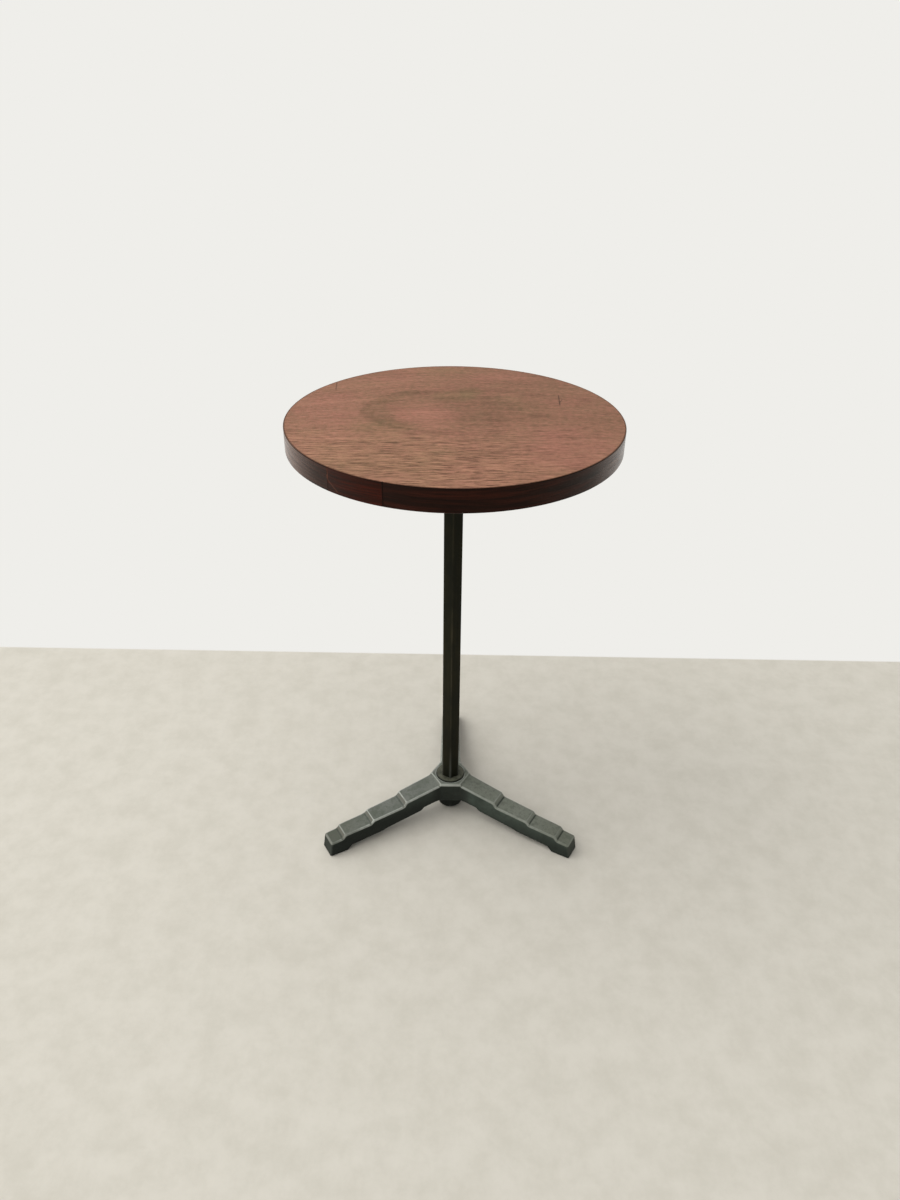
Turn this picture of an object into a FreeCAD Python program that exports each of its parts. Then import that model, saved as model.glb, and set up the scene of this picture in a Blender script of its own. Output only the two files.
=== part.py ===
import FreeCAD, Part
import math
import os
from types import SimpleNamespace

import Sketcher

# A wine table: a round veneered top on a hexagonal post, bolted to a cast base with three stepped legs.
# The origin is on the floor under the post, +Z is up, the first leg points along +Y. Lengths are in mm.

# Driving dimensions
DIMENSIONS = {
    # the whole table
    "table_height": 570.0,
    "top_diameter": 370.0,
    "top_thickness": 25.5,
    # veneers and edging of the top
    "veneer_thickness": 0.8,
    "strip_thickness": 1.5,
    "strip_edge_chamfer": 0.5,
    "glue_gap": 0.05,
    "seam_gap": 0.4,
    "closing_strip_angle": 20.3,
    "closing_strip_place_angle": 238.4,
    # plate under the top, and its screws
    "plate_diameter": 120.0,
    "plate_thickness": 5.0,
    "plate_edge_chamfer": 1.2,
    "screw_circle_diameter": 92.0,
    "screw_diameter": 4.5,
    "screw_head_diameter": 9.0,
    "screw_head_depth": 2.6,
    "screw_length": 18.0,
    "screw_point_length": 4.0,
    "cross_recess_span": 4.6,
    "cross_recess_width": 1.1,
    "cross_recess_depth": 1.6,
    # hexagonal post, and the bolt into its top end
    "post_across_flats": 22.0,
    "post_arris_round": 0.6,
    "tapped_hole_spare": 4.0,
    "thread_gap": 0.05,
    "top_bolt_diameter": 8.0,
    "top_bolt_head_diameter": 15.0,
    "top_bolt_head_depth": 4.2,
    "top_bolt_length": 30.0,
    "socket_across_flats": 5.0,
    "socket_depth": 3.0,
    # collar round the post's foot
    "collar_wall": 6.5,
    "collar_rise": 2.0,
    "collar_bevel": 0.7,
    "fit_gap": 0.1,
    # hub of the casting
    "hub_top_height": 54.2,
    "hub_depth": 27.5,
    "hub_rim": 6.0,
    "hub_bevel": 1.8,
    "recess_depth": 5.5,
    "web_thickness": 20.0,
    "boss_drop": 21.0,
    "boss_wall": 6.5,
    # legs of the casting
    "leg_reach": 188.6,
    "leg_root_inset": 5.0,
    "leg_root_drop": 1.4,
    "leg_root_width": 32.2,
    "leg_tip_width": 25.0,
    "toe_height": 21.4,
    "toe_lean": 3.0,
    "foot_length": 25.0,
    "foot_step_run": 6.5,
    "foot_step_rise": 6.5,
    "step_round": 2.6,
    "leg_edge_bevel": 1.5,
    "draft_angle": 2.0,
    # bolt, washers and felt pads under the base
    "base_bolt_diameter": 8.0,
    "base_bolt_length": 45.0,
    "base_bolt_head_across_flats": 13.0,
    "base_bolt_head_depth": 5.3,
    "bolt_tip_chamfer": 1.0,
    "bolt_hole_gap": 0.5,
    "washer_diameter": 16.0,
    "washer_thickness": 1.6,
    "lock_washer_diameter": 14.8,
    "lock_washer_thickness": 2.0,
    "lock_washer_gap": 1.6,
    "socket_room": 1.5,
    "pad_diameter": 18.0,
    "pad_thickness": 1.0,
    # how far a cutting shape passes the face that it cuts
    "cut_overrun": 1.0,
}

# Corners of a leg's upper line, from its root to the toe: shares of the way out along the leg, and of its
# fall from the root to the toe. Each pair of corners is the crest and the foot of one step.
UPPER_LINE_SHARES = [
    (0.324, 0.730),
    (0.350, 0.545),
    (0.615, 0.412),
    (0.641, 0.280),
    (0.862, 0.200),
    (0.886, 0.045),
]

# Corners of a leg's underside, from the foot's step to the hub: shares of the way from the leg's root to
# that step, and of the rise from it to the hub's underside.
UNDERSIDE_SHARES = [
    (0.673, 0.182),
    (0.629, 0.286),
    (0.247, 0.677),
    (0.210, 0.885),
    (0.080, 1.0),
]

LEG_ANGLES = {"back": 90.0, "left": 210.0, "right": 330.0}
PLATE_SCREW_COUNT = 4
FULL_ANGLE = 360.0
HEXAGON_CORNER_COUNT = 6
BEVEL_ANGLE = 45.0
# Two points closer than this share of the table's height are one point.
SAME_PLACE_SHARE = 1e-6


class Size:
    """A number together with the sheet expression that gives it, so that sums keep both."""

    def __init__(self, value, text):
        self.value = value
        self.text = text

    @staticmethod
    def of(item):
        if isinstance(item, Size):
            return item
        return Size(float(item), repr(float(item)))

    def __add__(self, other):
        other = Size.of(other)
        return Size(self.value + other.value, f"({self.text} + {other.text})")

    def __sub__(self, other):
        other = Size.of(other)
        return Size(self.value - other.value, f"({self.text} - {other.text})")

    def __rsub__(self, other):
        return Size.of(other) - self

    def __mul__(self, other):
        other = Size.of(other)
        return Size(self.value * other.value, f"({self.text} * {other.text})")

    def __truediv__(self, other):
        other = Size.of(other)
        return Size(self.value / other.value, f"({self.text} / {other.text})")

    def __neg__(self):
        return Size(-self.value, f"(-{self.text})")


def make_sheet():
    """Writes the driving dimensions to the sheet and returns them by name."""
    sheet = doc.addObject("Spreadsheet::Sheet", "Sizes")
    for row, (name, value) in enumerate(DIMENSIONS.items(), start=1):
        sheet.set(f"A{row}", name)
        sheet.set(f"B{row}", str(value))
        sheet.setAlias(f"B{row}", name)
    doc.recompute()
    return SimpleNamespace(**{name: Size(sheet.get(name), f"Sizes.{name}") for name in DIMENSIONS})


doc = FreeCAD.newDocument("wine_table")
size = make_sheet()
ZERO = Size.of(0)
same_place = SAME_PLACE_SHARE * size.table_height.value

# Places and sizes that follow from the driving dimensions
top_radius = size.top_diameter / 2
top_underside = size.table_height - size.top_thickness
board_radius = top_radius - size.strip_thickness - size.glue_gap
plate_underside = top_underside - size.plate_thickness
screw_circle_radius = size.screw_circle_diameter / 2
screw_radius = size.screw_diameter / 2
screw_head_radius = size.screw_head_diameter / 2
screw_tip = plate_underside + size.screw_length
top_bolt_radius = size.top_bolt_diameter / 2
base_bolt_radius = size.base_bolt_diameter / 2

post_seat = size.hub_top_height - size.recess_depth
post_corner_radius = size.post_across_flats / math.sqrt(3)
collar_radius = post_corner_radius + size.collar_wall
collar_top = size.hub_top_height + size.collar_rise
recess_radius = collar_radius + size.fit_gap
hub_across_flats = (recess_radius + size.hub_rim) * 2

hub_underside = size.hub_top_height - size.hub_depth
boss_underside = hub_underside - size.boss_drop
web_underside = post_seat - size.web_thickness
bolt_pocket_radius = size.washer_diameter / 2 + size.socket_room
bolt_hole_radius = base_bolt_radius + size.bolt_hole_gap
washer_underside = web_underside - size.washer_thickness
lock_washer_underside = washer_underside - size.lock_washer_thickness
base_bolt_tip = lock_washer_underside + size.base_bolt_length

foot_underside = size.pad_thickness
foot_middle = size.leg_reach - size.foot_length / 2
leg_root = hub_across_flats / 2 - size.leg_root_inset
leg_root_height = size.hub_top_height - size.leg_root_drop
draft_slope = Size(math.tan(math.radians(size.draft_angle.value)), f"tan({size.draft_angle.text} * 1 deg)")


# Helpers for bodies and sketches
HORIZONTAL_AXIS, VERTICAL_AXIS = range(-1, -3, -1)
ORIGIN = HORIZONTAL_AXIS
START, END, CENTRE = range(1, 4)


def new_body(label):
    body = doc.addObject("PartDesign::Body", label)
    body.Label = label
    return body


def origin_feature(body, role):
    return next(item for item in body.Origin.OriginFeatures if item.Role == role)


def new_sketch(body, name, plane, height=None):
    """A sketch on one of the body's own planes, lifted off it by height."""
    sketch = body.newObject("Sketcher::SketchObject", name)
    sketch.AttachmentSupport = [(origin_feature(body, plane), "")]
    sketch.MapMode = "FlatFace"
    if height is not None:
        sketch.setExpression("AttachmentOffset.Base.z", height.text)
    return sketch


def tie_point(sketch, geometry, point, x, y):
    """Ties a point to the sketch's axes by two distances from the sheet."""
    for kind, distance, axis in (("DistanceX", x, VERTICAL_AXIS), ("DistanceY", y, HORIZONTAL_AXIS)):
        if abs(distance.value) < same_place:
            sketch.addConstraint(Sketcher.Constraint("PointOnObject", geometry, point, axis))
        else:
            constraint = Sketcher.Constraint(kind, ORIGIN, START, geometry, point, distance.value)
            index = sketch.addConstraint(constraint)
            sketch.setExpression(f"Constraints[{index}]", distance.text)


def add_outline(sketch, points):
    """A closed outline of straight lines through points, each a pair of sizes."""
    first = sketch.GeometryCount
    corners = [FreeCAD.Vector(x.value, y.value, 0) for x, y in points]
    for start, end in zip(corners, corners[1:] + corners[:1]):
        sketch.addGeometry(Part.LineSegment(start, end), False)
    for index, (x, y) in enumerate(points):
        following = first + (index + 1) % len(points)
        sketch.addConstraint(Sketcher.Constraint("Coincident", first + index, END, following, START))
        tie_point(sketch, first + index, START, x, y)


def add_circle(sketch, radius, x=ZERO, y=ZERO):
    centre = FreeCAD.Vector(x.value, y.value, 0)
    circle = sketch.addGeometry(Part.Circle(centre, FreeCAD.Vector(0, 0, 1), radius.value), False)
    tie_point(sketch, circle, CENTRE, x, y)
    index = sketch.addConstraint(Sketcher.Constraint("Radius", circle, radius.value))
    sketch.setExpression(f"Constraints[{index}]", radius.text)


def add_hexagon(sketch, across_flats, first_corner_angle):
    corner_radius = across_flats / math.sqrt(3)
    corners = []
    for side in range(HEXAGON_CORNER_COUNT):
        angle = math.radians(first_corner_angle + side * FULL_ANGLE / HEXAGON_CORNER_COUNT)
        corners.append((corner_radius * math.cos(angle), corner_radius * math.sin(angle)))
    add_outline(sketch, corners)


def add_upright_axis(sketch, x, low, high):
    """A construction line that a revolved shape beside the post's axis turns about."""
    line = Part.LineSegment(FreeCAD.Vector(x.value, low.value, 0), FreeCAD.Vector(x.value, high.value, 0))
    axis = sketch.addGeometry(line, True)
    tie_point(sketch, axis, START, x, low)
    tie_point(sketch, axis, END, x, high)


# Helpers for features
def pad(body, sketch, length, draft=None):
    feature = body.newObject("PartDesign::Pad", f"{sketch.Name}_pad")
    feature.Profile = sketch
    feature.setExpression("Length", length.text)
    if draft is not None:
        feature.setExpression("TaperAngle", (-draft).text)
    doc.recompute()
    return feature


def check_cut(feature, volume_before):
    doc.recompute()
    if not feature.Shape.Volume < volume_before:
        raise RuntimeError(f"{feature.Name} cuts nothing")
    return feature


def pocket(body, sketch, depth=None, upwards=False):
    """A cut of a given depth, or through everything on both sides of the sketch."""
    volume_before = body.Shape.Volume
    feature = body.newObject("PartDesign::Pocket", f"{sketch.Name}_pocket")
    feature.Profile = sketch
    if depth is None:
        feature.Type = "ThroughAll"
        feature.SideType = "Symmetric"
    else:
        feature.setExpression("Length", depth.text)
        feature.Reversed = upwards
    return check_cut(feature, volume_before)


def revolve(body, sketch, axis="V_Axis", angle=None):
    """A turned solid, or a part turn that lies evenly on both sides of the sketch."""
    feature = body.newObject("PartDesign::Revolution", f"{sketch.Name}_turn")
    feature.Profile = sketch
    feature.ReferenceAxis = (sketch, [axis])
    if angle is None:
        feature.Angle = FULL_ANGLE
    else:
        feature.Midplane = True
        feature.setExpression("Angle", angle.text)
    doc.recompute()
    return feature


def groove(body, sketch, axis="V_Axis"):
    volume_before = body.Shape.Volume
    feature = body.newObject("PartDesign::Groove", f"{sketch.Name}_groove")
    feature.Profile = sketch
    feature.ReferenceAxis = (sketch, [axis])
    feature.Angle = FULL_ANGLE
    return check_cut(feature, volume_before)


def repeat_round(body, count, features=None):
    """Repeats features, or the whole body so far, evenly about the post's axis."""
    pattern = body.newObject("PartDesign::PolarPattern", f"{body.Name}_repeat")
    if features is None:
        pattern.TransformMode = "Whole shape"
    else:
        pattern.Originals = features
    pattern.Axis = (origin_feature(body, "Z_Axis"), [""])
    pattern.Angle = FULL_ANGLE
    pattern.Occurrences = count
    body.Tip = pattern
    doc.recompute()
    return pattern


def dress(body, kind, base, edges, amount):
    """A fillet's radius or a chamfer's size on the named edges."""
    feature = body.newObject(f"PartDesign::{kind}", f"{base.Name}_{kind.lower()}")
    feature.Base = (base, edges)
    feature.setExpression("Radius" if kind == "Fillet" else "Size", amount.text)
    doc.recompute()
    return feature


def edges_where(feature, test):
    return [f"Edge{number}" for number, edge in enumerate(feature.Shape.Edges, start=1) if test(edge)]


def lies_at_height(edge, height):
    return all(abs(vertex.Z - height.value) < same_place for vertex in edge.Vertexes)


def normals_beside(shape, edge):
    """The outward normals of the two faces that meet at the middle of an edge."""
    middle = edge.valueAt((edge.FirstParameter + edge.LastParameter) / 2)
    faces = shape.ancestorsOfType(edge, Part.Face)
    return [face.normalAt(*face.Surface.parameter(middle)) for face in faces]


# The top
def add_pilot_holes(body, base_height, depth):
    sketch = new_sketch(body, f"{body.Name}_pilot", "XY_Plane", base_height)
    add_circle(sketch, screw_radius + size.thread_gap, screw_circle_radius)
    hole = pocket(body, sketch, depth, upwards=True)
    repeat_round(body, PLATE_SCREW_COUNT, [hole])


def make_board(label, base_height, thickness):
    body = new_body(label)
    sketch = new_sketch(body, f"{label}_outline", "XY_Plane", base_height)
    add_circle(sketch, board_radius)
    pad(body, sketch, thickness)
    return body


def make_top_core():
    base_height = top_underside + size.veneer_thickness
    body = make_board("top_core", base_height, size.top_thickness - size.veneer_thickness * 2)
    add_pilot_holes(body, base_height, screw_tip - base_height)
    return body


def make_face_veneer():
    return make_board("face_veneer", size.table_height - size.veneer_thickness, size.veneer_thickness)


def make_backing_veneer():
    body = make_board("backing_veneer", top_underside, size.veneer_thickness)
    add_pilot_holes(body, top_underside, size.veneer_thickness)
    return body


def make_edge_strip(label, angle, place_angle):
    """A bent strip of edging, as high as the board, with its two outer arrises eased."""
    body = new_body(label)
    sketch = new_sketch(body, f"{label}_section", "XZ_Plane")
    inner_radius = top_radius - size.strip_thickness
    add_outline(sketch, [
        (inner_radius, top_underside),
        (top_radius, top_underside),
        (top_radius, size.table_height),
        (inner_radius, size.table_height),
    ])
    strip = revolve(body, sketch, angle=angle)
    rim_length = top_radius.value * math.radians(angle.value)

    def is_outer_arris(edge):
        return abs(edge.Length - rim_length) < same_place

    dress(body, "Chamfer", strip, edges_where(strip, is_outer_arris), size.strip_edge_chamfer)
    body.Placement.Rotation = FreeCAD.Rotation(FreeCAD.Vector(0, 0, 1), place_angle.value)
    return body


def make_edge_strips():
    """The long strip and the short one that closes the rim, with an open seam at both ends."""
    seam_angle = size.seam_gap / (top_radius * math.radians(1))
    main_angle = FULL_ANGLE - size.closing_strip_angle - seam_angle * 2
    closing_place = size.closing_strip_place_angle
    return [
        make_edge_strip("edge_strip_main", main_angle, closing_place + FULL_ANGLE / 2),
        make_edge_strip("edge_strip_closing", size.closing_strip_angle, closing_place),
    ]


# The plate under the top, its screws and the bolt into the post
def make_mounting_plate():
    body = new_body("mounting_plate")
    outline = new_sketch(body, "plate_outline", "XY_Plane", plate_underside)
    add_circle(outline, size.plate_diameter / 2)
    disc = pad(body, outline, size.plate_thickness)
    lower_rim = edges_where(disc, lambda edge: lies_at_height(edge, plate_underside))
    dress(body, "Chamfer", disc, lower_rim, size.plate_edge_chamfer)

    low = plate_underside - size.cut_overrun
    high = top_underside + size.cut_overrun
    bolt_seat = new_sketch(body, "plate_bolt_seat", "XZ_Plane")
    head_radius = size.top_bolt_head_diameter / 2 + size.thread_gap
    shank_radius = top_bolt_radius + size.thread_gap
    add_outline(bolt_seat, [
        (ZERO, low),
        (shank_radius, low),
        (shank_radius, top_underside - size.top_bolt_head_depth),
        (head_radius, top_underside),
        (head_radius, high),
        (ZERO, high),
    ])
    groove(body, bolt_seat)

    screw_seat = new_sketch(body, "plate_screw_seat", "XZ_Plane")
    add_upright_axis(screw_seat, screw_circle_radius, low, high)
    head_edge = screw_circle_radius + screw_head_radius + size.thread_gap
    shank_edge = screw_circle_radius + screw_radius + size.thread_gap
    add_outline(screw_seat, [
        (screw_circle_radius, low),
        (head_edge, low),
        (head_edge, plate_underside),
        (shank_edge, plate_underside + size.screw_head_depth),
        (shank_edge, high),
        (screw_circle_radius, high),
    ])
    seat = groove(body, screw_seat, "Axis0")
    repeat_round(body, PLATE_SCREW_COUNT, [seat])
    return body


def make_plate_screws():
    """Four countersunk wood screws, flush with the plate's underside."""
    body = new_body("plate_screws")
    body.AllowCompound = True
    profile = new_sketch(body, "screw_profile", "XZ_Plane")
    add_upright_axis(profile, screw_circle_radius, plate_underside, screw_tip)
    add_outline(profile, [
        (screw_circle_radius, plate_underside),
        (screw_circle_radius + screw_head_radius, plate_underside),
        (screw_circle_radius + screw_radius, plate_underside + size.screw_head_depth),
        (screw_circle_radius + screw_radius, screw_tip - size.screw_point_length),
        (screw_circle_radius, screw_tip),
    ])
    revolve(body, profile, "Axis0")

    half_span = size.cross_recess_span / 2
    half_width = size.cross_recess_width / 2
    for name, reach_x, reach_y in (("long", half_span, half_width), ("cross", half_width, half_span)):
        slot = new_sketch(body, f"screw_slot_{name}", "XY_Plane", plate_underside)
        add_outline(slot, [
            (screw_circle_radius - reach_x, -reach_y),
            (screw_circle_radius + reach_x, -reach_y),
            (screw_circle_radius + reach_x, reach_y),
            (screw_circle_radius - reach_x, reach_y),
        ])
        pocket(body, slot, size.cross_recess_depth, upwards=True)
    repeat_round(body, PLATE_SCREW_COUNT)
    return body


def make_post_top_bolt():
    """A countersunk socket bolt, flush with the plate's upper face."""
    body = new_body("post_top_bolt")
    profile = new_sketch(body, "top_bolt_profile", "XZ_Plane")
    tip = top_underside - size.top_bolt_length
    add_outline(profile, [
        (ZERO, tip),
        (top_bolt_radius - size.bolt_tip_chamfer, tip),
        (top_bolt_radius, tip + size.bolt_tip_chamfer),
        (top_bolt_radius, top_underside - size.top_bolt_head_depth),
        (size.top_bolt_head_diameter / 2, top_underside),
        (ZERO, top_underside),
    ])
    revolve(body, profile)
    socket = new_sketch(body, "top_bolt_socket", "XY_Plane", top_underside)
    add_hexagon(socket, size.socket_across_flats, 0)
    pocket(body, socket, size.socket_depth)
    return body


# The post and its collar
POST_CORNER_ANGLE = 30.0


def make_post():
    """A hexagonal bar tapped at both ends, with an arris towards the front."""
    body = new_body("post")
    outline = new_sketch(body, "post_outline", "XY_Plane", post_seat)
    add_hexagon(outline, size.post_across_flats, POST_CORNER_ANGLE)
    length = plate_underside - post_seat
    bar = pad(body, outline, length)

    def is_arris(edge):
        return abs(edge.Length - length.value) < same_place

    dress(body, "Fillet", bar, edges_where(bar, is_arris), size.post_arris_round)
    foot_hole = new_sketch(body, "post_foot_hole", "XY_Plane", post_seat)
    add_circle(foot_hole, base_bolt_radius + size.thread_gap)
    pocket(body, foot_hole, base_bolt_tip - post_seat + size.tapped_hole_spare, upwards=True)
    top_hole = new_sketch(body, "post_top_hole", "XY_Plane", plate_underside)
    add_circle(top_hole, top_bolt_radius + size.thread_gap)
    pocket(body, top_hole, size.top_bolt_length - size.plate_thickness + size.tapped_hole_spare)
    return body


def make_post_collar():
    """A turned ring with a bevelled rim, let into the hub round the post's foot."""
    body = new_body("post_collar")
    profile = new_sketch(body, "collar_profile", "XZ_Plane")
    add_outline(profile, [
        (ZERO, post_seat),
        (collar_radius, post_seat),
        (collar_radius, collar_top - size.collar_bevel),
        (collar_radius - size.collar_bevel, collar_top),
        (ZERO, collar_top),
    ])
    revolve(body, profile)
    hole = new_sketch(body, "collar_hole", "XY_Plane", post_seat)
    add_hexagon(hole, size.post_across_flats + size.fit_gap * 2, POST_CORNER_ANGLE)
    pocket(body, hole)
    return body


# The cast base
def upper_line():
    """Corners of a leg's stepped upper line, as distance from the hub's axis and height."""
    run = size.leg_reach - leg_root
    fall = leg_root_height - size.toe_height
    return [(leg_root + run * out, size.toe_height + fall * up) for out, up in UPPER_LINE_SHARES]


def cut_upper_line(body):
    sketch = new_sketch(body, "leg_upper_line", "YZ_Plane")
    past_toe = size.leg_reach + size.cut_overrun * 2
    above = leg_root_height + size.cut_overrun
    below = foot_underside - size.cut_overrun
    add_outline(sketch, [
        (leg_root, leg_root_height),
        *upper_line(),
        (size.leg_reach - size.toe_lean, size.toe_height),
        (size.leg_reach, foot_underside),
        (size.leg_reach, below),
        (past_toe, below),
        (past_toe, above),
        (leg_root, above),
    ])
    return pocket(body, sketch)


def cut_underside(body):
    sketch = new_sketch(body, "leg_underside", "YZ_Plane")
    foot_inner = size.leg_reach - size.foot_length
    step_out = foot_inner - size.foot_step_run
    step_up = foot_underside + size.foot_step_rise
    run = step_out - leg_root
    rise = hub_underside - step_up
    below = foot_underside - size.cut_overrun
    behind = leg_root - size.cut_overrun
    add_outline(sketch, [
        (foot_inner, below),
        (foot_inner, foot_underside),
        (step_out, step_up),
        *[(leg_root + run * out, step_up + rise * up) for out, up in UNDERSIDE_SHARES],
        (behind, hub_underside),
        (behind, below),
    ])
    return pocket(body, sketch)


def round_steps(body, leg):
    """Eases the crest and the foot of every step on the leg's upper line."""
    corners = upper_line()

    def is_step_edge(edge):
        for out, up in corners:
            if all(math.hypot(v.Y - out.value, v.Z - up.value) < same_place for v in edge.Vertexes):
                return True
        return False

    return dress(body, "Fillet", leg, edges_where(leg, is_step_edge), size.step_round)


def bevel_upper_arrises(body, leg):
    """Bevels the long upper arrises, the toe's end and its two upright corners."""
    facing_share = 0.9
    rising_share = 0.3

    def is_upper_arris(edge):
        normals = normals_beside(leg.Shape, edge)
        upper = any(normal.z > rising_share for normal in normals)
        side = any(abs(normal.x) > facing_share for normal in normals)
        toe_end = any(normal.y > facing_share for normal in normals)
        return (upper and side) or (upper and toe_end) or (side and toe_end)

    return dress(body, "Chamfer", leg, edges_where(leg, is_upper_arris), size.leg_edge_bevel)


def make_tripod_base():
    """One casting: a drafted, stepped leg repeated three times about a hexagonal hub."""
    body = new_body("tripod_base")
    body.AllowCompound = True
    plan = new_sketch(body, "leg_plan", "XY_Plane", foot_underside)
    half_root = size.leg_root_width / 2
    half_tip = size.leg_tip_width / 2
    past_toe = size.leg_reach + size.cut_overrun
    add_outline(plan, [
        (-half_root, leg_root),
        (half_root, leg_root),
        (half_tip, past_toe),
        (-half_tip, past_toe),
    ])
    pad(body, plan, leg_root_height - foot_underside, size.draft_angle)
    cut_underside(body)
    leg = cut_upper_line(body)
    leg = round_steps(body, leg)
    bevel_upper_arrises(body, leg)
    repeat_round(body, len(LEG_ANGLES))

    side_height = size.hub_depth - size.hub_bevel
    hub_plan = new_sketch(body, "hub_plan", "XY_Plane", hub_underside)
    add_hexagon(hub_plan, hub_across_flats, 0)
    pad(body, hub_plan, side_height, size.draft_angle)
    bevel_plan = new_sketch(body, "hub_bevel_plan", "XY_Plane", hub_underside + side_height)
    add_hexagon(bevel_plan, hub_across_flats - draft_slope * side_height * 2, 0)
    pad(body, bevel_plan, size.hub_bevel, Size.of(BEVEL_ANGLE))
    boss_plan = new_sketch(body, "boss_plan", "XY_Plane", boss_underside)
    add_circle(boss_plan, bolt_pocket_radius + size.boss_wall)
    pad(body, boss_plan, web_underside - boss_underside)

    low = boss_underside - size.cut_overrun
    high = size.hub_top_height + size.cut_overrun
    bore = new_sketch(body, "hub_bore", "XZ_Plane")
    add_outline(bore, [
        (ZERO, low),
        (bolt_pocket_radius, low),
        (bolt_pocket_radius, web_underside),
        (bolt_hole_radius, web_underside),
        (bolt_hole_radius, post_seat),
        (recess_radius, post_seat),
        (recess_radius, high),
        (ZERO, high),
    ])
    groove(body, bore)
    return body


# The bolt and washers in the hub, and the pads under the feet
def make_base_bolt():
    body = new_body("base_bolt")
    head_plan = new_sketch(body, "base_bolt_head", "XY_Plane", lock_washer_underside)
    add_hexagon(head_plan, size.base_bolt_head_across_flats, 0)
    head = pad(body, head_plan, size.base_bolt_head_depth)
    head.Reversed = True
    shank_plan = new_sketch(body, "base_bolt_shank", "XY_Plane", lock_washer_underside)
    add_circle(shank_plan, base_bolt_radius)
    shank = pad(body, shank_plan, size.base_bolt_length)
    tip = edges_where(shank, lambda edge: lies_at_height(edge, base_bolt_tip))
    dress(body, "Chamfer", shank, tip, size.bolt_tip_chamfer)
    return body


def make_ring(label, diameter, base_height, thickness, angle=None):
    body = new_body(label)
    section = new_sketch(body, f"{label}_section", "XZ_Plane")
    outer_radius = diameter / 2
    high = base_height + thickness
    add_outline(section, [
        (bolt_hole_radius, base_height),
        (outer_radius, base_height),
        (outer_radius, high),
        (bolt_hole_radius, high),
    ])
    revolve(body, section, angle=angle)
    return body


def make_washers():
    """The plain washer under the web, and the split one between it and the bolt's head."""
    split_angle = size.lock_washer_gap / (size.lock_washer_diameter / 2 * math.radians(1))
    return [
        make_ring("base_washer", size.washer_diameter, washer_underside, size.washer_thickness),
        make_ring("base_lock_washer", size.lock_washer_diameter, lock_washer_underside,
                  size.lock_washer_thickness, FULL_ANGLE - split_angle),
    ]


def make_foot_pads():
    pads = []
    for place, angle in LEG_ANGLES.items():
        body = new_body(f"foot_pad_{place}")
        outline = new_sketch(body, f"foot_pad_{place}_outline", "XY_Plane")
        x = foot_middle * math.cos(math.radians(angle))
        y = foot_middle * math.sin(math.radians(angle))
        add_circle(outline, size.pad_diameter / 2, x, y)
        pad(body, outline, size.pad_thickness)
        pads.append(body)
    return pads


def check_document():
    for item in doc.Objects:
        if "Invalid" in item.State or "Error" in item.State:
            raise RuntimeError(f"{item.Name} failed: {item.State}")


def write_nodes(nodes):
    os.makedirs("parts", exist_ok=True)
    for node in nodes:
        shape = node.Shape
        if shape.isNull() or not shape.isValid():
            raise RuntimeError(f"{node.Label} has no valid shape")
        shape.exportStep(f"parts/{node.Label}.step")
        print(f"{node.Label}: {len(shape.Solids)} solid(s), {shape.Volume:.1f} mm3")


sub_parts = [
    make_top_core(),
    make_face_veneer(),
    make_backing_veneer(),
    *make_edge_strips(),
    make_mounting_plate(),
    make_plate_screws(),
    make_post_top_bolt(),
    make_post(),
    make_post_collar(),
    make_tripod_base(),
    make_base_bolt(),
    *make_washers(),
    *make_foot_pads(),
]
doc.recompute()
check_document()
write_nodes(sub_parts)
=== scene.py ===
# %% [markdown]
# # A wine table, dressed around its CAD frame
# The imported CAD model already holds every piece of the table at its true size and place. This lesson
# keeps those pieces as a fixed frame and gives them the look of an old, much used table: a faded
# veneered top with a stain, lacquered edging, a black post and a cast base whose paint has worn.
# Everything is in metres, the origin is on the floor under the post, and the back leg lies along +Y.

# %% Load the frame
import math

import bpy
import numpy as np
from mathutils import Matrix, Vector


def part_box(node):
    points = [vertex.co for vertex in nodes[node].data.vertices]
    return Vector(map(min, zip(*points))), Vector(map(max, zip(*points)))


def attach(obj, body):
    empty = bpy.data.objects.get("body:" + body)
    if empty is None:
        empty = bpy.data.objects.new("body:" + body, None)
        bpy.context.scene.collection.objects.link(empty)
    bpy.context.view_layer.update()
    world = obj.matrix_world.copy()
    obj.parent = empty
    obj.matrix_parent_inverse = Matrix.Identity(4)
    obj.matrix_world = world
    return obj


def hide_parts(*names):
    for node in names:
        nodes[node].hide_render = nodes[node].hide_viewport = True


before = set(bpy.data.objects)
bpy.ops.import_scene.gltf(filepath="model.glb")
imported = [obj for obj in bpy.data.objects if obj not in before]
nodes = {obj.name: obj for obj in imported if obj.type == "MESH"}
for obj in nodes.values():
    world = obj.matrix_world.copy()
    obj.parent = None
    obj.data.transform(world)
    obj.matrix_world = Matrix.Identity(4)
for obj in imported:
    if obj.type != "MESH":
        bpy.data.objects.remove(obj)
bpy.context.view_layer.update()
print("frame nodes:", ", ".join(sorted(nodes)))

# %% [markdown]
# ## Sums on sockets
# A procedural finish is a net of nodes, and most of those nodes only add and multiply. Placing them one
# by one hides the idea, so a small class wraps a socket and lets Python's own operators add the Math
# nodes. Every other node comes from one method that sets its options first and then feeds its inputs.

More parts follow.
